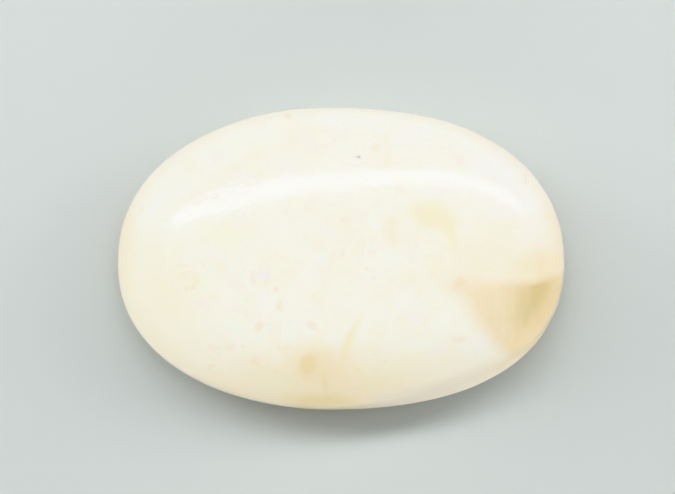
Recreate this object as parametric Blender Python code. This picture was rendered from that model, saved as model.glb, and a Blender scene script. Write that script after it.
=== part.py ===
"""Polished opal cabochon: one stone, oval in plan, with a low dome over a flat back.

Metres, +Z up. The flat back lies on Z = 0 with its centre at the origin, and the stone's length runs along X.
"""

import math

import bmesh
import bpy
from mathutils import Matrix, Vector

MM = 0.001

# Plan of the girdle, the line where the stone is widest
LENGTH = 21.0 * MM
WIDTH = 14.22 * MM
OVAL_POWER = 2.2  # 2 is a true ellipse, more is fuller at the corners
# The hand-ground outline strays a little from the oval: waves round the stone, depth, turn
OUTLINE_WAVES = (
    (3, 0.039 * MM, math.radians(172)),
    (5, 0.033 * MM, math.radians(224)),
)

# Dome, from the girdle up
GIRDLE_HEIGHT = 1.25 * MM
DOME_HEIGHT = 4.0 * MM
DOME_POWER = 2.2  # 2 is an ellipsoid, more is flatter on top
# Ground by hand, the dome is lopsided: its top lies to the right, and its upper contours are turned
APEX_SHIFT = Vector((2.4 * MM, 0.4 * MM))
TOP_TURN = math.radians(16)

# Front right side, ground steeper than the rest below a soft shoulder line
SIDE_DIRECTION = math.radians(-56)
SIDE_HALF_SPAN = math.radians(40)
SIDE_SLOPE = 2.1  # rise over run of the steep band
SIDE_FULLNESS = 0.05  # how far the dome is carried out over the band
SHOULDER_BLEND = 0.6 * MM
LEAST_SHARE = 0.01  # where the steep side has less than this share, the dome is left as it is

# Back, from the girdle down
BACK_INSET = 1.0 * MM
BACK_EDGE_SLOPE = math.radians(62)  # how far the rounding turns under before it meets the flat

# Grid of the cube that is blown up into the stone
CELLS = 24
BACK_LATITUDE = math.radians(21)  # share of the lower half that the rounding takes

OPAL_COLOUR = (0.89, 0.84, 0.72, 1.0)
OPAL_ROUGHNESS = 0.14
OPAL_IOR = 1.45


def clear_scene():
    for item in list(bpy.data.objects):
        bpy.data.objects.remove(item, do_unlink=True)


def outline_point(turn):
    """Point of the girdle in plan, for a turn round the centre that is even on a circle."""
    across, along = math.cos(turn), math.sin(turn)
    swell = (abs(across) ** OVAL_POWER + abs(along) ** OVAL_POWER) ** (-1 / OVAL_POWER)
    point = Vector((across * LENGTH / 2, along * WIDTH / 2)) * swell
    bearing = math.atan2(point.y, point.x)
    stray = sum(depth * math.sin(waves * bearing + phase) for waves, depth, phase in OUTLINE_WAVES)
    return point * (1 + stray / point.length)


def side_share(turn):
    """1 in the middle of the steep side, easing to 0 at the ends of its span."""
    away = abs(math.remainder(turn - SIDE_DIRECTION, math.tau)) / SIDE_HALF_SPAN
    return math.cos(min(away, 1) * math.pi / 2) ** 2


def soft_minimum(first, second, blend):
    share = min(max(0.5 + 0.5 * (second - first) / blend, 0), 1)
    return second + (first - second) * share - blend * share * (1 - share)


def height_over_girdle(ring, run, turn):
    """Height of the dome; ring is 0 at the top and 1 at the girdle, run is the way in from the girdle."""
    share = side_share(turn)
    dome = DOME_HEIGHT * math.sqrt(1 - (ring * (1 - SIDE_FULLNESS * share)) ** DOME_POWER)
    if share < LEAST_SHARE:
        return dome
    return soft_minimum(dome, run * SIDE_SLOPE / share, SHOULDER_BLEND * share)


def dome_point(latitude, turn):
    ring = math.cos(latitude) ** (2 / DOME_POWER)
    rim = outline_point(turn)
    rise = 1 - ring * ring
    place = Matrix.Rotation(TOP_TURN * rise, 2) @ (rim * ring) + APEX_SHIFT * rise
    outward = Vector((rim.x / LENGTH ** 2, rim.y / WIDTH ** 2)).normalized()
    height = height_over_girdle(ring, (rim - place).dot(outward), turn)
    return place.to_3d() + Vector((0, 0, GIRDLE_HEIGHT + height))


def back_point(latitude, turn):
    """Rounding from the girdle down to the edge of the flat back."""
    bend = BACK_EDGE_SLOPE * min(-latitude / BACK_LATITUDE, 1)
    inset = BACK_INSET * (1 - math.cos(bend)) / (1 - math.cos(BACK_EDGE_SLOPE))
    height = GIRDLE_HEIGHT * (1 - math.sin(bend) / math.sin(BACK_EDGE_SLOPE))
    rim = outline_point(turn)
    place = rim * (1 - inset / rim.length)
    return place.to_3d() + Vector((0, 0, height))


def round_cube(bm):
    """Gridded cube pushed out to a unit sphere in even steps, with no poles."""
    bmesh.ops.create_cube(bm, size=2)
    bmesh.ops.subdivide_edges(bm, edges=bm.edges[:], cuts=CELLS - 1, use_grid_fill=True)
    for vert in bm.verts:
        vert.co = Vector([math.tan(part * math.pi / 4) for part in vert.co]).normalized()


def cut_flat_back(bm):
    everything = bm.verts[:] + bm.edges[:] + bm.faces[:]
    level = Vector((0, 0, -math.sin(BACK_LATITUDE)))
    bmesh.ops.bisect_plane(bm, geom=everything, plane_co=level, plane_no=(0, 0, 1), clear_inner=True)
    rim = [edge for edge in bm.edges if edge.is_boundary]
    bmesh.ops.edgeloop_fill(bm, edges=rim)


def shape_stone(bm):
    for vert in bm.verts:
        latitude = math.asin(min(max(vert.co.z, -1), 1))
        turn = math.atan2(vert.co.y, vert.co.x)
        vert.co = dome_point(latitude, turn) if latitude > 0 else back_point(latitude, turn)


def centre_in_plan(bm):
    for axis in (0, 1):
        places = [vert.co[axis] for vert in bm.verts]
        middle = (min(places) + max(places)) / 2
        for vert in bm.verts:
            vert.co[axis] -= middle


def opal_material():
    material = bpy.data.materials.new("polished opal")
    material.use_nodes = True
    shader = material.node_tree.nodes["Principled BSDF"]
    shader.inputs["Base Color"].default_value = OPAL_COLOUR
    shader.inputs["Roughness"].default_value = OPAL_ROUGHNESS
    shader.inputs["Metallic"].default_value = 0
    shader.inputs["IOR"].default_value = OPAL_IOR
    return material


def add_cabochon():
    bm = bmesh.new()
    round_cube(bm)
    cut_flat_back(bm)
    shape_stone(bm)
    centre_in_plan(bm)
    bmesh.ops.recalc_face_normals(bm, faces=bm.faces[:])
    mesh = bpy.data.meshes.new("opal_cabochon")
    bm.to_mesh(mesh)
    bm.free()
    mesh.shade_smooth()
    mesh.set_sharp_from_angle(angle=math.radians(20))
    mesh.materials.append(opal_material())
    stone = bpy.data.objects.new("opal_cabochon", mesh)
    bpy.context.scene.collection.objects.link(stone)


clear_scene()
add_cabochon()
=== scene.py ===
import bpy
import math
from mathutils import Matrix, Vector


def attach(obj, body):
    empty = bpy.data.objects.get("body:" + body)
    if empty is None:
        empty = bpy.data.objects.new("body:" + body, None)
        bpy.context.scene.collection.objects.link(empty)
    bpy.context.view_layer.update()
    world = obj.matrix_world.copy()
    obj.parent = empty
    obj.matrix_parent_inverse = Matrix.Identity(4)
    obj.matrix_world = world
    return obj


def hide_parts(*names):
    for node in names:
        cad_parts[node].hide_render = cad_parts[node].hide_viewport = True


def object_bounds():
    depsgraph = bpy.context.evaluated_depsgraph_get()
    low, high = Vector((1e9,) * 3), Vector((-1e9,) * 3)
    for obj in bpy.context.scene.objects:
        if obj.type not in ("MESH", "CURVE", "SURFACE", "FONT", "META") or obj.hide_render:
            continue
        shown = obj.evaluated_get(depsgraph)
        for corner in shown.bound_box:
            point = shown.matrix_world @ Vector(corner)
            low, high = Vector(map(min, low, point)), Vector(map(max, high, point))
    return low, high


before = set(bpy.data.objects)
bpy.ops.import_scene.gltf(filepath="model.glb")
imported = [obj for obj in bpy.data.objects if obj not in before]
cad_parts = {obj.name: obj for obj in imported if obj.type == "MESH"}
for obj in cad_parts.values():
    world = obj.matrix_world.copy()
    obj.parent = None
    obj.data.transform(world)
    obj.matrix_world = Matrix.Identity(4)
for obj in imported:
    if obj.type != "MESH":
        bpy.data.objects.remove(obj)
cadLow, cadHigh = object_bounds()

mm = 0.001


def srgb(hexCode, strength=1.0):  # sRGB hex to the linear colour that Blender works in
    parts = [int(hexCode[i:i + 2], 16) / 255 for i in (1, 3, 5)]
    linear = [p / 12.92 if p <= 0.04045 else ((p + 0.055) / 1.055) ** 2.4 for p in parts]
    return (*[part * strength for part in linear], 1.0)


def deselectAll():
    if bpy.context.object and bpy.context.object.mode != "OBJECT":
        bpy.ops.object.mode_set(mode="OBJECT")
    bpy.ops.object.select_all(action="DESELECT")


def useAlone(piece):
    deselectAll()
    piece.select_set(True)
    bpy.context.view_layer.objects.active = piece


def newMaterial(name):
    material = bpy.data.materials.new(name)
    material.use_nodes = True
    tree = material.node_tree
    return material, tree, tree.nodes["Principled BSDF"]


# a ramp is its way of mixing, then the place and colour of each step
def addNode(tree, kind, settings=None, values=None, links=None, ramp=None):
    node = tree.nodes.new(kind)
    for name, value in (settings or {}).items():
        setattr(node, name, value)
    for socket, value in (values or {}).items():
        node.inputs[socket].default_value = value
    for socket, source in (links or {}).items():
        tree.links.new(source, node.inputs[socket])
    if ramp:
        node.color_ramp.interpolation, steps = ramp
        while len(node.color_ramp.elements) < len(steps):
            node.color_ramp.elements.new(0.5)
        for step, (place, colour) in zip(node.color_ramp.elements, steps):
            step.position = place
            step.color = colour
    return node


camera = {
    "lookAt": (0.0, 0.0, 1.2 * mm),
    "elevation": 86,                   # degrees above the table
    "distance": 150 * mm,
    "seenWidth": 31.74 * mm,           # across the view, at the point looked at
    "shiftX": -0.0051, "shiftY": 0.017,  # in widths of the view
    "sensor": 36,                      # in mm, as Blender counts it
    "nearest": 1 * mm, "farthest": 10,  # in metres, what lies between is drawn
}


def addCamera():
    data = bpy.data.cameras.new("camera")
    data.sensor_width = camera["sensor"]
    data.lens = camera["sensor"] * camera["distance"] / camera["seenWidth"]
    data.shift_x, data.shift_y = camera["shiftX"], camera["shiftY"]
    data.clip_start, data.clip_end = camera["nearest"], camera["farthest"]
    holder = bpy.data.objects.new("camera", data)
    bpy.context.scene.collection.objects.link(holder)
    tilt = math.radians(camera["elevation"])
    back = Vector((0, -math.cos(tilt), math.sin(tilt)))
    holder.location = Vector(camera["lookAt"]) + back * camera["distance"]
    holder.rotation_euler = (math.pi / 2 - tilt, 0, 0)
    bpy.context.scene.camera = holder
    print("camera set")


light = {
    # lamps: direction from the stone, distance, length, height, turn on its axis in degrees,
    # strength (1 looks as bright as a white card), and whether it lights or only shines back
    "lamps": {
        "long lamp behind": ((0.02, 0.70, 1.0), 300 * mm, 760 * mm, 55 * mm, 10, 9.6, "light"),
        "long lamp's reflection": ((0.12, 0.69, 1.0), 300 * mm, 740 * mm, 40 * mm, 13, 25.0, "gloss"),
        "soft lamp left": ((-2.1, 0.8, 0.9), 420 * mm, 240 * mm, 150 * mm, 0, 7.6, "light"),
        "soft lamp right": ((2.1, 0.6, 0.85), 420 * mm, 240 * mm, 150 * mm, 0, 8.0, "light"),
        "low fill in front": ((0.0, -1.0, 0.30), 400 * mm, 1000 * mm, 200 * mm, 0, 2.75, "light"),
    },
    # a plain white room, and how strong it is from straight down (0) to straight up (1)
    "room": "#f4f5f4",
    "roomSteps": ((0.0, 0.1), (0.5, 0.02), (0.8, 0.05), (1.0, 0.7)),
}


def addLights():
    for name, (way, distance, length, height, turn, strength, use) in light["lamps"].items():
        data = bpy.data.lights.new(name, "AREA")
        data.shape = "RECTANGLE"
        data.size, data.size_y = length, height
        data.energy = strength * math.pi * length * height
        lamp = bpy.data.objects.new(name, data)
        bpy.context.scene.collection.objects.link(lamp)
        away = Vector(way).normalized()
        lamp.location = away * distance
        lamp.rotation_euler = (-away).to_track_quat("-Z", "Y").to_euler()
        lamp.rotation_euler.rotate_axis("Z", math.radians(turn))
        lamp.visible_glossy = use == "gloss"
        lamp.visible_diffuse = lamp.visible_transmission = use == "light"

    world = bpy.data.worlds.new("room")
    world.use_nodes = True
    tree = world.node_tree
    coords = addNode(tree, "ShaderNodeTexCoord")
    parts = addNode(tree, "ShaderNodeSeparateXYZ", links={"Vector": coords.outputs["Generated"]})
    upward = addNode(tree, "ShaderNodeMapRange", values={"From Min": -1, "From Max": 1},
                     links={"Value": parts.outputs["Z"]})
    steps = [(place, srgb(light["room"], strength)) for place, strength in light["roomSteps"]]
    glow = addNode(tree, "ShaderNodeValToRGB", links={"Fac": upward.outputs["Result"]},
                   ramp=("EASE", steps))
    tree.links.new(glow.outputs["Color"], tree.nodes["Background"].inputs["Color"])
    bpy.context.scene.world = world
    print("lights set")


# Card with a matt face: an even pale ground that takes soft shadows and hardly shines
table = {
    "size": 1.2,  # in metres: so wide that its edge is never seen
    "colour": "#b4bab8",
    "roughness": 0.6,
}


def addTable():
    deselectAll()
    bpy.ops.mesh.primitive_plane_add(size=table["size"])
    top = bpy.context.object
    top.name = "table"
    material, tree, shader = newMaterial("pale matt card")
    shader.inputs["Base Color"].default_value = srgb(table["colour"])
    shader.inputs["Roughness"].default_value = table["roughness"]
    top.data.materials.append(material)
    print("table set")


stone = {
    "node": "opal_cabochon",
    "mergeWithin": 0.0005 * mm,   # points nearer than this become one
    "quadFlatness": 40, "quadSquareness": 60,  # degrees that a pair of triangles may be off to make a quad
    "rounding": 2,                # times that each face is divided in four
    "backLevel": 0.01 * mm,       # what lies lower belongs to the flat back
    "backCrease": 0.8,            # keeps the back's edge narrow, eased so that it doesn't chip
    # the soft shoulder at the front right: heights, directions in degrees, how far each pass of
    # smoothing takes it, and the passes
    "shoulderHeights": (1.7 * mm, 4.0 * mm), "shoulderSpan": (-110, -10),
    "shoulderSoftening": 0.5, "shoulderPasses": 4,
    # hand-held on the wheel: slow swells and finer ripples, size across and height
    "ripples": {"slow swells": (3.2 * mm, 0.022 * mm), "fine ripples": (0.9 * mm, 0.004 * mm)},
    "rippleStart": 0.3 * mm, "rippleFull": 1.6 * mm,  # heights between which the ripples set in
    # pits in the polish: place, radius, depth
    "pits": (
        ((0.79 * mm, 4.51 * mm, 4.50 * mm), 0.16 * mm, 0.06 * mm),
        ((-2.48 * mm, 6.55 * mm, 2.60 * mm), 0.18 * mm, 0.07 * mm),
        ((8.60 * mm, 3.50 * mm, 3.40 * mm), 0.22 * mm, 0.05 * mm),
        ((-6.10 * mm, -1.90 * mm, 3.95 * mm), 0.14 * mm, 0.04 * mm),
        ((-5.70 * mm, 2.65 * mm, 3.75 * mm), 0.13 * mm, 0.03 * mm),
        ((3.10 * mm, -2.70 * mm, 4.90 * mm), 0.12 * mm, 0.03 * mm),
    ),
    "pitClearing": 0.45 * mm, "pitCuts": 3,  # faces this near to a pit are cut this many times
}


def addStone():
    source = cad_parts[stone["node"]]
    piece = bpy.data.objects.new("opal_stone", source.data.copy())
    bpy.context.scene.collection.objects.link(piece)
    piece.data.materials.clear()
    useAlone(piece)
    bpy.ops.object.mode_set(mode="EDIT")
    bpy.ops.mesh.select_all(action="SELECT")
    bpy.ops.mesh.remove_doubles(threshold=stone["mergeWithin"])
    bpy.ops.mesh.tris_convert_to_quads(face_threshold=math.radians(stone["quadFlatness"]),
                                       shape_threshold=math.radians(stone["quadSquareness"]))
    bpy.ops.object.mode_set(mode="OBJECT")
    print("stone merged:", len(piece.data.vertices), "points,", len(piece.data.polygons), "faces")
    easeBack(piece)
    softenShoulder(piece)
    smooth = piece.modifiers.new("smooth", "SUBSURF")
    smooth.levels = smooth.render_levels = stone["rounding"]
    bpy.ops.object.modifier_apply(modifier=smooth.name)
    for pit in stone["pits"]:
        addPit(piece, *pit)
    addRipples(piece)
    useAlone(piece)
    bpy.ops.object.shade_smooth()
    print("stone finished:", len(piece.data.polygons), "faces")
    return piece


def selectFaces(piece, test):  # in object mode, by a test on each face
    useAlone(piece)
    for part in (piece.data.vertices, piece.data.edges):
        part.foreach_set("select", [False] * len(part))
    for face in piece.data.polygons:
        face.select = test(face)


def easeBack(piece):  # the flat back keeps its edge when the stone is rounded
    points = piece.data.vertices
    selectFaces(piece, lambda face: all(points[i].co.z < stone["backLevel"] for i in face.vertices))
    bpy.ops.object.mode_set(mode="EDIT")
    bpy.ops.mesh.region_to_loop()
    bpy.ops.transform.edge_crease(value=stone["backCrease"])
    bpy.ops.object.mode_set(mode="OBJECT")


def softenShoulder(piece):  # where the dome turns into the steeper side
    low, high = stone["shoulderHeights"]
    first, last = stone["shoulderSpan"]

    def onShoulder(face):
        way = math.degrees(math.atan2(face.center.y, face.center.x))
        return low < face.center.z < high and first < way < last

    selectFaces(piece, onShoulder)
    bpy.ops.object.mode_set(mode="EDIT")
    bpy.ops.mesh.vertices_smooth(factor=stone["shoulderSoftening"], repeat=stone["shoulderPasses"])
    bpy.ops.object.mode_set(mode="OBJECT")


def addPit(piece, place, radius, depth):
    place = Vector(place)
    near = min(piece.data.vertices, key=lambda vert: (vert.co - place).length)
    middle, inward = near.co.copy(), -near.normal.copy()
    selectFaces(piece, lambda face: (face.center - middle).length < stone["pitClearing"])
    bpy.ops.object.mode_set(mode="EDIT")
    bpy.ops.mesh.subdivide(number_cuts=stone["pitCuts"], smoothness=1)
    bpy.ops.mesh.select_all(action="DESELECT")
    bpy.ops.object.mode_set(mode="OBJECT")
    near = min(piece.data.vertices, key=lambda vert: (vert.co - middle).length)
    near.select = True
    bpy.ops.object.mode_set(mode="EDIT")
    bpy.ops.mesh.select_mode(type="VERT")
    bpy.ops.transform.translate(value=inward * depth, use_proportional_edit=True,
                                proportional_edit_falloff="SPHERE", proportional_size=radius)
    bpy.ops.object.mode_set(mode="OBJECT")


def addRipples(piece):
    start, full = stone["rippleStart"], stone["rippleFull"]
    group = piece.vertex_groups.new(name="rippled")
    for vert in piece.data.vertices:
        group.add([vert.index], min(max((vert.co.z - start) / (full - start), 0), 1), "REPLACE")
    useAlone(piece)
    for name, (across, height) in stone["ripples"].items():
        texture = bpy.data.textures.new(name, "CLOUDS")
        texture.noise_scale = across
        ripple = piece.modifiers.new(name, "DISPLACE")
        ripple.texture = texture
        ripple.texture_coords = "LOCAL"
        ripple.strength = height
        ripple.vertex_group = group.name
        bpy.ops.object.modifier_apply(modifier=ripple.name)
    piece.vertex_groups.clear()


# Precious opal with a white body, cut and polished by hand: milky and see-through to a few mm, with a
# wet polish, faint pinfire colours that sit in cells, and iron-stained honey patches grown into it.
# Places and sizes here are in mm, and those written with * mm go to the shader in metres. A blot is its
# middle, half sizes, turn in degrees and the softness of its edge, as a share of its size; a stain is a
# blot, a colour and the share of it that shows.
opal = {
    "ior": 1.45, "gloss": 0.9,      # 0.5 is the gloss that the index alone gives
    "see": 3.0 * mm, "seeByColour": (1.0, 0.93, 0.8),  # how far light goes in, by red, green and blue

    # how the outlines of stains wander: size of the waves and how far they go, coarse and fine
    "wander": ((1.6, 0.30), (0.45, 0.08)),
    "ragged": (0.3, 0.15),          # the same for flecks and pinfire
    "wanderDetail": 3,              # a noise's detail is how many finer ones are laid over it

    # the milk: lumps of creamier and cooler white
    "milk": ("#fcf3e6", "#faf4e8", "#fcf2e4"),
    "milkSize": 3.4, "milkDetail": 4, "milkFrom": 0.32, "milkTo": 0.68,
    # painted warm glow of light at the thin edge, from this share of the way out to the rim
    "edge": "#f4dfc4", "edgeGlowShare": 0.45, "edgeGlowFrom": 0.90, "edgeGlowTo": 1.01,
    # warmer between these two places along Y and most so at its foot: partly the stone's own warmer tone,
    # partly a painted warm glow of light through it
    "front": "#f7e9cf", "frontShare": 0.6, "frontFrom": -3.3, "frontTo": -6.4,
    "foot": ((-0.2, -7.0, 1.5), (4.6, 2.3, 3.5), 0, 0.7, "#f4e3bf", 0.5),

    # cells of play of colour: dark is the share of them that shows none, full and gone are how far from a
    # cell's middle its colour is whole and has ended, in cells, and share is how strong it is
    "paleCells": {
        "size": 1.0, "dark": 0.15, "full": 0.35, "gone": 0.75, "share": 0.14,
        "colours": ("#e9f6e6", "#fbe9e4", "#f6f0e0", "#ece9fa", "#f6f1e0", "#e4f3f2", "#f9ecd6"),
    },
    "pinfire": {
        "size": 0.38, "dark": 0.62, "full": 0.15, "gone": 0.5, "share": 0.36,
        "colours": ("#ffd8bc", "#ffdcd0", "#d0f2d0", "#e6e0fb", "#ffedb0", "#c9f1f2"),
    },
    "cellBlur": 0.25, "cellFade": 0.08,  # how softly cells meet, and lit ones turn into dark ones
    # the pinfire crowds here, with this share of it elsewhere, and comes in patches
    "crowd": ((-3.0, -2.2, 4.0), (5.6, 3.6, 4.0), 8, 0.6), "uncrowded": 0.3,
    "patchSize": 2.2, "patchDetail": 2, "patchFrom": 0.42, "patchTo": 0.62,

    # stains in the body, with painted shade, glow and sheen among them, each laid over those before it
    "stains": {
        "smudge": ((4.30, 1.66, 4.6), (1.10, 0.60, 1.6), -14, 0.6, "#feedd0", 0.8),
        "smudgeTail": ((5.05, 0.95, 4.6), (0.30, 0.75, 1.6), 6, 0.6, "#fceed0", 0.55),
        "smudgeLeg": ((2.30, 0.95, 4.8), (0.32, 0.75, 1.6), 12, 0.7, "#fbecd4", 0.5),
        "wing": ((6.60, -0.20, 4.4), (2.4, 1.2, 1.8), 20, 0.9, "#f5e9cf", 0.4),
        "edgeWing": ((9.20, -0.55, 3.0), (1.5, 0.7, 1.8), 12, 0.8, "#eedcb4", 0.6),
        "brownTip": ((5.50, -1.37, 4.7), (0.25, 0.27, 0.8), 0, 0.9, "#ecd2a8", 0.5),
        "tipHaze": ((6.30, -1.45, 4.2), (1.3, 0.40, 1.6), 0, 0.9, "#f2e0c3", 0.45),
        "frontSpot": ((-1.55, -5.10, 3.6), (0.34, 0.50, 1.4), -20, 0.6, "#dccb98", 0.8),
        "frontHalo": ((-1.00, -5.05, 3.6), (1.30, 0.95, 1.6), -12, 0.8, "#f3e2c0", 0.6),
        "frontStreak": ((-0.78, -5.75, 3.3), (0.14, 0.45, 0.8), 10, 0.8, "#e9d6a8", 0.28),
        "frontTail": ((0.45, -3.95, 4.4), (0.20, 0.95, 0.9), -20, 0.9, "#efe5bc", 0.6),
        # painted shade on the steep side below the soft shoulder, greyer where the edge is thin
        "paintedShadeSideFront": ((3.4, -6.35, 1.9), (2.5, 0.50, 1.3), 11, 0.6, "#e6e2d7", 0.5),
        "paintedShadeSideRight": ((5.9, -5.60, 1.9), (1.7, 0.42, 1.3), 24, 0.6, "#e8e4d8", 0.4),
        "footGold": ((8.1, -4.95, 1.8), (1.3, 0.45, 1.5), 38, 0.8, "#f4e0b8", 0.6),
        "edgeStain": ((-0.95, -6.80, 2.2), (1.7, 0.40, 1.5), 0, 0.7, "#eed79c", 0.70),
        # painted sheen: the pale reflection of a side lamp on the right shoulder
        "paintedSheenRight": ((7.90, 3.40, 3.6), (1.5, 2.2, 2.2), 38, 0.9, "#f4f1ef", 0.6),
        # painted shade and warm glow of light at the thin right and left edges
        "paintedShadeAndGlowRightEdge": ((10.3, 0.9, 1.8), (1.1, 2.4, 2.4), 8, 0.8, "#efdcbc", 0.5),
        "paintedShadeAndGlowLeftEdge": ((-10.3, 0.2, 1.6), (0.6, 2.6, 2.4), -6, 0.8, "#efe0c4", 0.6),
        "leftWarmth": ((-8.6, -2.6, 2.6), (2.0, 2.4, 2.4), 10, 0.9, "#f8ebcf", 0.5),
        "pinkBand": ((-2.30, 5.70, 3.2), (0.75, 1.2, 1.5), 0, 0.8, "#fdf0e2", 0.5),
        "oliveCloud": ((-5.50, 0.85, 4.2), (0.9, 0.5, 1.2), 0, 0.9, "#f6f4dc", 0.6),
    },

    # the big honey corner lies between three faces: a point on each, the way in as seen from above in
    # degrees, how much that way rises, and how softly the honey sets in
    "cornerFaces": (
        ((7.75, -1.13, 3.7), -90, -0.30, 0.32),  # upper face, the crispest
        ((6.15, -2.60, 4.1), 24, 0.45, 0.58),    # left face
        ((7.25, -4.95, 3.3), 62, 0.30, 0.40),    # lower face
    ),
    "cornerWander": (1.4, 0.16),
    # the honey deepens between these two places along X
    "honeyPale": "#f1e4cf", "honeyDeep": "#e3d3b1", "honeyPaleAt": 5.2, "honeyDeepAt": 9.0,
    # pale wisps drawn out through the honey
    "wisp": "#f4e8cc", "wispShare": 0.45,
    "wispSize": 0.42, "wispLength": 1.4, "wispDetail": 3, "wispFrom": 0.45, "wispTo": 0.65,
    "honeyStains": {
        "fadedTop": ((7.00, -1.25, 4.0), (1.9, 0.34, 1.8), 8, 0.9, "#f5e6ca", 0.75),
        "brownLeft": ((6.60, -2.40, 4.0), (0.5, 0.9, 1.8), 22, 0.9, "#e8d8b2", 0.35),
        "oliveHeart": ((8.85, -2.65, 3.4), (0.85, 0.95, 1.8), 0, 0.9, "#c5b88a", 0.56),
        "oliveTop": ((9.75, -1.45, 2.4), (1.4, 0.80, 2.2), 10, 0.8, "#c6b480", 0.78),
        "oliveLine": ((8.20, -1.35, 3.6), (1.0, 0.24, 1.5), 14, 0.8, "#d6cba8", 0.45),
        "orangeEdge": ((9.50, -2.90, 2.2), (0.50, 1.4, 1.8), -28, 0.8, "#d8be88", 0.88),
        "goldFoot": ((8.60, -4.20, 2.4), (0.9, 0.65, 1.8), 40, 0.8, "#f6dca6", 0.9),
    },

    # single flecks of play of colour, and two white painted glints: place as seen from above, half sizes,
    # turn in degrees, colour
    "flecksAndGlints": (
        ((-2.80, -2.45), (0.17, 0.26), 20, "#ffd2ae"),
        ((-3.77, -3.37), (0.20, 0.22), -30, "#ffd0b0"),
        ((-1.33, -3.30), (0.30, 0.17), -40, "#ffd1b0"),
        ((-3.96, -4.96), (0.22, 0.20), 0, "#ffd4aa"),
        ((-6.02, -5.16), (0.24, 0.13), 10, "#ffd09c"),
        ((5.43, -3.95), (0.30, 0.16), 8, "#ffd2b4"),
        ((0.19, 1.50), (0.26, 0.14), 0, "#ffd9cc"),
        ((1.57, 4.89), (0.26, 0.18), 15, "#ffdcc0"),
        ((5.49, 4.23), (0.20, 0.20), 0, "#ffd4da"),
        ((-4.05, -1.15), (0.15, 0.34), 0, "#ffd4ce"),
        ((-3.55, -1.05), (0.22, 0.26), 0, "#d6ccff"),
        ((-4.40, -2.15), (0.24, 0.14), 0, "#c8f2c4"),
        ((-5.20, -3.35), (1.05, 0.42), 0, "#d2f0e2"),
        ((-6.68, -1.23), (0.15, 0.24), 0, "#ffeaa2"),
        ((4.30, -0.80), (0.20, 0.18), 0, "#ffeeb0"),
        ((-1.75, -1.00), (0.09, 0.30), -45, "#ffffff"),
        ((-7.11, -0.25), (0.20, 0.14), 0, "#e2fbff"),
        ((-9.33, 2.18), (0.14, 0.26), -20, "#ffd2a2"),
        ((-5.10, -4.30), (0.22, 0.18), 30, "#ffd6b8"),
        ((-2.30, -3.10), (0.30, 0.22), 0, "#cfeee0"),
        # these two white ones are painted glints of light near the highlight's right end
        ((8.10, 1.01), (0.24, 0.09), 0, "#ffffff"),
        ((6.86, 3.02), (0.22, 0.10), -20, "#ffffff"),
        ((-5.85, -4.30), (0.30, 0.13), -10, "#ffdad0"),
        ((-2.70, -4.30), (0.34, 0.13), 6, "#ffd6b8"),
    ),
    # height of their middles and half their height, so that a fleck shows wherever the dome is there
    "fleckHeight": 4.2, "fleckDepth": 2.0,
    "fleckSoftness": 0.6, "fleckShare": 0.20,
    # dirt in the three widest pits, the last of them a scratch at the edge
    "specks": {
        "speck": ((0.79, 4.47, 4.5), (0.15, 0.07, 0.3), 0, 0.6, "#8e8a7e", 0.6),
        "edgeSpeck": ((-2.48, 6.59, 2.5), (0.14, 0.10, 0.4), 0, 0.7, "#e2c8ac", 0.5),
        "scratch": ((8.58, 3.50, 3.4), (0.05, 0.30, 0.6), 8, 0.6, "#c3bfb4", 0.6),
    },

    # roughness from well to less well polished, which comes and goes over this size
    "polished": 0.10, "lessPolished": 0.17,
    "polishSize": 1.3, "polishDetail": 5, "polishFrom": 0.35, "polishTo": 0.7,
    # the back is only ground; the heights at which the polish ends and the ground face is full
    "ground": 0.42, "polishEnds": 0.25, "groundFull": 0.05,
    # places where the polish is duller, and by how much
    "dullPlaces": (
        ((-0.2, 3.4, 4.6), (1.0, 0.9, 2.0), 0, 0.9),
        ((5.6, 3.2, 4.4), (0.7, 0.7, 2.0), 0, 0.9),
        ((7.9, 2.5, 3.9), (1.0, 0.9, 2.0), 0, 0.9),
    ),
    "dullness": 0.12,
    # the wheel's last marks, drawn coarser than they are so that they show: this high in the worn place,
    # and a share of that elsewhere
    "grainSize": 0.24, "grainDetail": 3, "grainHeight": 0.024 * mm, "grainElsewhere": 0.25,
    "worn": ((-5.1, 2.75, 4.1), (1.6, 0.6, 2.5), 14, 0.8),
}


def warped(tree, place, size, amount):  # the place pushed about by a noise of that size, in mm
    noise = addNode(tree, "ShaderNodeTexNoise",
                    values={"Scale": 1 / size, "Detail": opal["wanderDetail"]}, links={"Vector": place})
    # a noise runs from 0 to 1, so about its middle it pushes both ways
    centred = addNode(tree, "ShaderNodeVectorMath", {"operation": "SUBTRACT"}, {1: (0.5, 0.5, 0.5)},
                      {0: noise.outputs["Color"]})
    return addNode(tree, "ShaderNodeVectorMath", {"operation": "MULTIPLY_ADD"}, {1: (2 * amount,) * 3},
                   {0: centred.outputs[0], 2: place}).outputs[0]


def blotShare(tree, place, blot, least=0.0, most=1.0):  # most inside a soft-edged blot, least outside
    middle, halves, turn, softness = blot
    there = addNode(tree, "ShaderNodeMapping", {"vector_type": "TEXTURE"},
                    {"Location": middle, "Rotation": (0, 0, math.radians(turn)), "Scale": halves},
                    {"Vector": place})
    away = addNode(tree, "ShaderNodeVectorMath", {"operation": "LENGTH"},
                   links={0: there.outputs["Vector"]})
    return addNode(tree, "ShaderNodeMapRange", {"interpolation_type": "SMOOTHSTEP"},
                   {"From Min": 1 + softness, "From Max": 1 - softness, "To Min": least, "To Max": most},
                   {"Value": away.outputs["Value"]}).outputs["Result"]


def addStain(tree, colour, place, middle, halves, turn, softness, tint, most):  # laid over the colour
    share = blotShare(tree, place, (middle, halves, turn, softness), most=most)
    return addNode(tree, "ShaderNodeMix", {"data_type": "RGBA"}, {7: srgb(tint)},
                   {0: share, 6: colour}).outputs[2]


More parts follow.
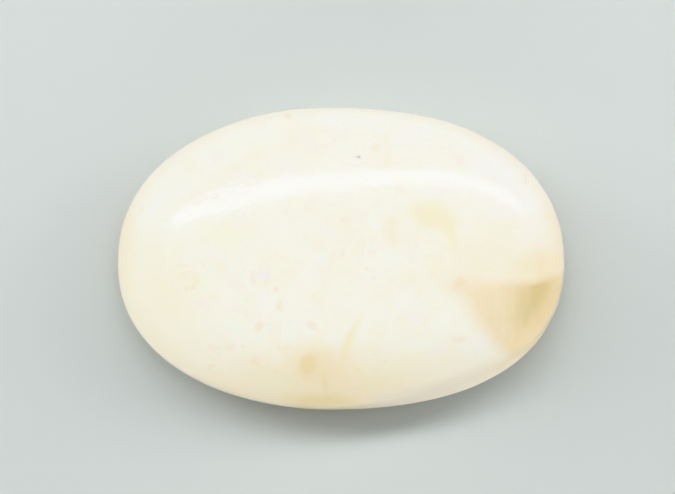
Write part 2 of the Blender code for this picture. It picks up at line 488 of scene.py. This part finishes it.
def addCells(tree, colour, place, cells, where=None):  # random ones over the colour, as where allows
    pattern = addNode(tree, "ShaderNodeTexVoronoi", {"feature": "SMOOTH_F1"},
                      {"Scale": 1 / cells["size"], "Smoothness": opal["cellBlur"]}, {"Vector": place})
    chance = addNode(tree, "ShaderNodeSeparateColor", links={"Color": pattern.outputs["Color"]})
    steps = [(index / len(cells["colours"]), srgb(tint)) for index, tint in enumerate(cells["colours"])]
    tint = addNode(tree, "ShaderNodeValToRGB", links={"Fac": chance.outputs["Red"]},
                   ramp=("CONSTANT", steps))
    lit = addNode(tree, "ShaderNodeMapRange",
                  values={"From Min": cells["dark"], "From Max": cells["dark"] + opal["cellFade"]},
                  links={"Value": chance.outputs["Green"]})
    near = addNode(tree, "ShaderNodeMapRange", {"interpolation_type": "SMOOTHSTEP"},
                   {"From Min": cells["gone"], "From Max": cells["full"], "To Max": cells["share"]},
                   {"Value": pattern.outputs["Distance"]})
    share = addNode(tree, "ShaderNodeMath", {"operation": "MULTIPLY"},
                    links={0: lit.outputs[0], 1: near.outputs[0]})
    if where:
        share = addNode(tree, "ShaderNodeMath", {"operation": "MULTIPLY"},
                        links={0: share.outputs[0], 1: where})
    return addNode(tree, "ShaderNodeMix", {"data_type": "RGBA"},
                   links={0: share.outputs[0], 6: colour, 7: tint.outputs["Color"]}).outputs[2]


def milkyBody(tree, place, wavy):  # the white body, warmer towards the front
    milk = addNode(tree, "ShaderNodeTexNoise",
                   values={"Scale": 1 / opal["milkSize"], "Detail": opal["milkDetail"]},
                   links={"Vector": place})
    lumps = addNode(tree, "ShaderNodeMapRange",
                    values={"From Min": opal["milkFrom"], "From Max": opal["milkTo"]},
                    links={"Value": milk.outputs["Fac"]})
    steps = [(index / (len(opal["milk"]) - 1), srgb(tint)) for index, tint in enumerate(opal["milk"])]
    body = addNode(tree, "ShaderNodeValToRGB", links={"Fac": lumps.outputs[0]}, ramp=("EASE", steps))
    colour = addCells(tree, body.outputs["Color"], wavy, opal["paleCells"])
    parts = addNode(tree, "ShaderNodeSeparateXYZ", links={"Vector": wavy})
    # warmer towards the front and most at its foot: partly the stone's own tone, partly painted warm glow
    # of light through the stone
    front = addNode(tree, "ShaderNodeMapRange", {"interpolation_type": "SMOOTHSTEP"},
                    {"From Min": opal["frontFrom"], "From Max": opal["frontTo"],
                     "To Max": opal["frontShare"]},
                    {"Value": parts.outputs["Y"]})
    colour = addNode(tree, "ShaderNodeMix", {"data_type": "RGBA"}, {7: srgb(opal["front"])},
                     {0: front.outputs[0], 6: colour}).outputs[2]
    return addStain(tree, colour, wavy, *opal["foot"])


def addPinfire(tree, colour, place, wavy, ragged):  # crowded in one place, and in patches
    crowd = blotShare(tree, wavy, opal["crowd"], least=opal["uncrowded"])
    patchy = addNode(tree, "ShaderNodeTexNoise",
                     values={"Scale": 1 / opal["patchSize"], "Detail": opal["patchDetail"]},
                     links={"Vector": place})
    patches = addNode(tree, "ShaderNodeMapRange",
                      values={"From Min": opal["patchFrom"], "From Max": opal["patchTo"]},
                      links={"Value": patchy.outputs["Fac"]})
    where = addNode(tree, "ShaderNodeMath", {"operation": "MULTIPLY"},
                    links={0: crowd, 1: patches.outputs[0]})
    return addCells(tree, colour, ragged, opal["pinfire"], where.outputs[0])


def addHoneyCorner(tree, colour, place, wavy):
    firm = warped(tree, place, *opal["cornerWander"])
    share = None
    for point, wayIn, rise, softness in opal["cornerFaces"]:
        inward = Vector((math.cos(math.radians(wayIn)), math.sin(math.radians(wayIn)), rise))
        depth = addNode(tree, "ShaderNodeVectorMath", {"operation": "DOT_PRODUCT"}, {1: inward}, {0: firm})
        level = inward.dot(Vector(point))
        inside = addNode(tree, "ShaderNodeMapRange", {"interpolation_type": "SMOOTHSTEP"},
                         {"From Min": level - softness, "From Max": level + softness},
                         {"Value": depth.outputs["Value"]}).outputs["Result"]
        if share:
            inside = addNode(tree, "ShaderNodeMath", {"operation": "MULTIPLY"},
                             links={0: share, 1: inside}).outputs[0]
        share = inside

    parts = addNode(tree, "ShaderNodeSeparateXYZ", links={"Vector": wavy})
    along = addNode(tree, "ShaderNodeMapRange", {"interpolation_type": "SMOOTHSTEP"},
                    {"From Min": opal["honeyPaleAt"], "From Max": opal["honeyDeepAt"]},
                    {"Value": parts.outputs["X"]})
    steps = [(0.0, srgb(opal["honeyPale"])), (1.0, srgb(opal["honeyDeep"]))]
    body = addNode(tree, "ShaderNodeValToRGB", links={"Fac": along.outputs[0]}, ramp=("LINEAR", steps))
    across, length = opal["wispSize"], opal["wispLength"]
    drawn = addNode(tree, "ShaderNodeMapping", values={"Scale": (1 / across, 1 / length, 1 / length)},
                    links={"Vector": wavy})
    wisps = addNode(tree, "ShaderNodeTexNoise", values={"Scale": 1, "Detail": opal["wispDetail"]},
                    links={"Vector": drawn.outputs["Vector"]})
    wispy = addNode(tree, "ShaderNodeMapRange", values={
        "From Min": opal["wispFrom"], "From Max": opal["wispTo"], "To Max": opal["wispShare"]},
        links={"Value": wisps.outputs["Fac"]})
    honey = addNode(tree, "ShaderNodeMix", {"data_type": "RGBA"}, {7: srgb(opal["wisp"])},
                    {0: wispy.outputs[0], 6: body.outputs["Color"]}).outputs[2]
    for stain in opal["honeyStains"].values():
        honey = addStain(tree, honey, wavy, *stain)
    return addNode(tree, "ShaderNodeMix", {"data_type": "RGBA"},
                   links={0: share, 6: colour, 7: honey}).outputs[2]


# painted warm glow of light through the thin edge, growing out towards the rim
def addPaintedEdgeGlow(tree, colour, place):
    oval = addNode(tree, "ShaderNodeVectorMath", {"operation": "MULTIPLY"},
                   {1: (mm / cadHigh[0], mm / cadHigh[1], 0)}, {0: place})
    out = addNode(tree, "ShaderNodeVectorMath", {"operation": "LENGTH"}, links={0: oval.outputs[0]})
    rim = addNode(tree, "ShaderNodeMapRange", {"interpolation_type": "SMOOTHSTEP"},
                  {"From Min": opal["edgeGlowFrom"], "From Max": opal["edgeGlowTo"], "To Max": opal["edgeGlowShare"]},
                  {"Value": out.outputs["Value"]})
    return addNode(tree, "ShaderNodeMix", {"data_type": "RGBA"}, {7: srgb(opal["edge"])},
                   {0: rim.outputs[0], 6: colour}).outputs[2]


def polishRoughness(tree, place, wavy):  # uneven polish on the dome, a ground face on the back
    uneven = addNode(tree, "ShaderNodeTexNoise",
                     values={"Scale": 1 / opal["polishSize"], "Detail": opal["polishDetail"]},
                     links={"Vector": place})
    rubbed = addNode(tree, "ShaderNodeMapRange", values={
        "From Min": opal["polishFrom"], "From Max": opal["polishTo"],
        "To Min": opal["polished"], "To Max": opal["lessPolished"]},
        links={"Value": uneven.outputs["Fac"]}).outputs[0]
    for blot in opal["dullPlaces"]:
        dull = blotShare(tree, wavy, blot, most=opal["dullness"])
        rubbed = addNode(tree, "ShaderNodeMath", {"operation": "ADD"},
                         links={0: dull, 1: rubbed}).outputs[0]
    parts = addNode(tree, "ShaderNodeSeparateXYZ", links={"Vector": place})
    ground = addNode(tree, "ShaderNodeMapRange", values={
        "From Min": opal["polishEnds"], "From Max": opal["groundFull"], "To Max": opal["ground"]},
        links={"Value": parts.outputs["Z"]})
    return addNode(tree, "ShaderNodeMath", {"operation": "MAXIMUM"},
                   links={0: rubbed, 1: ground.outputs[0]}).outputs[0]


def wheelMarks(tree, place, wavy):  # the grain that the polishing wheel leaves
    grain = addNode(tree, "ShaderNodeTexNoise",
                    values={"Scale": 1 / opal["grainSize"], "Detail": opal["grainDetail"]},
                    links={"Vector": place})
    worn = blotShare(tree, wavy, opal["worn"], least=opal["grainElsewhere"])
    return addNode(tree, "ShaderNodeBump", values={"Distance": opal["grainHeight"]},
                   links={"Height": grain.outputs["Fac"], "Strength": worn}).outputs["Normal"]


def polishedOpal():
    material, tree, shader = newMaterial("polished opal")
    coords = addNode(tree, "ShaderNodeTexCoord")
    place = addNode(tree, "ShaderNodeMapping", values={"Scale": (1 / mm,) * 3},
                    links={"Vector": coords.outputs["Object"]}).outputs["Vector"]
    wavy = place
    for size, amount in opal["wander"]:
        wavy = warped(tree, wavy, size, amount)
    ragged = warped(tree, place, *opal["ragged"])

    colour = milkyBody(tree, place, wavy)
    colour = addPinfire(tree, colour, place, wavy, ragged)
    for stain in opal["stains"].values():
        colour = addStain(tree, colour, wavy, *stain)
    colour = addHoneyCorner(tree, colour, place, wavy)
    for (x, y), halves, turn, tint in opal["flecksAndGlints"]:
        colour = addStain(tree, colour, ragged, (x, y, opal["fleckHeight"]), (*halves, opal["fleckDepth"]),
                         turn, opal["fleckSoftness"], tint, opal["fleckShare"])
    colour = addPaintedEdgeGlow(tree, colour, place)
    for stain in opal["specks"].values():
        colour = addStain(tree, colour, ragged, *stain)

    tree.links.new(colour, shader.inputs["Base Color"])
    tree.links.new(polishRoughness(tree, place, wavy), shader.inputs["Roughness"])
    tree.links.new(wheelMarks(tree, place, wavy), shader.inputs["Normal"])
    shader.inputs["IOR"].default_value = opal["ior"]
    shader.inputs["Specular IOR Level"].default_value = opal["gloss"]
    shader.inputs["Subsurface Weight"].default_value = 1.0
    shader.inputs["Subsurface Radius"].default_value = opal["seeByColour"]
    shader.inputs["Subsurface Scale"].default_value = opal["see"]
    print("opal finished:", len(tree.nodes), "nodes")
    return material


addCamera()
addLights()
addTable()
piece = addStone()
piece.data.materials.append(polishedOpal())
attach(piece, "root")
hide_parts(stone["node"])
bpy.context.scene.view_settings.view_transform = "Khronos PBR Neutral"
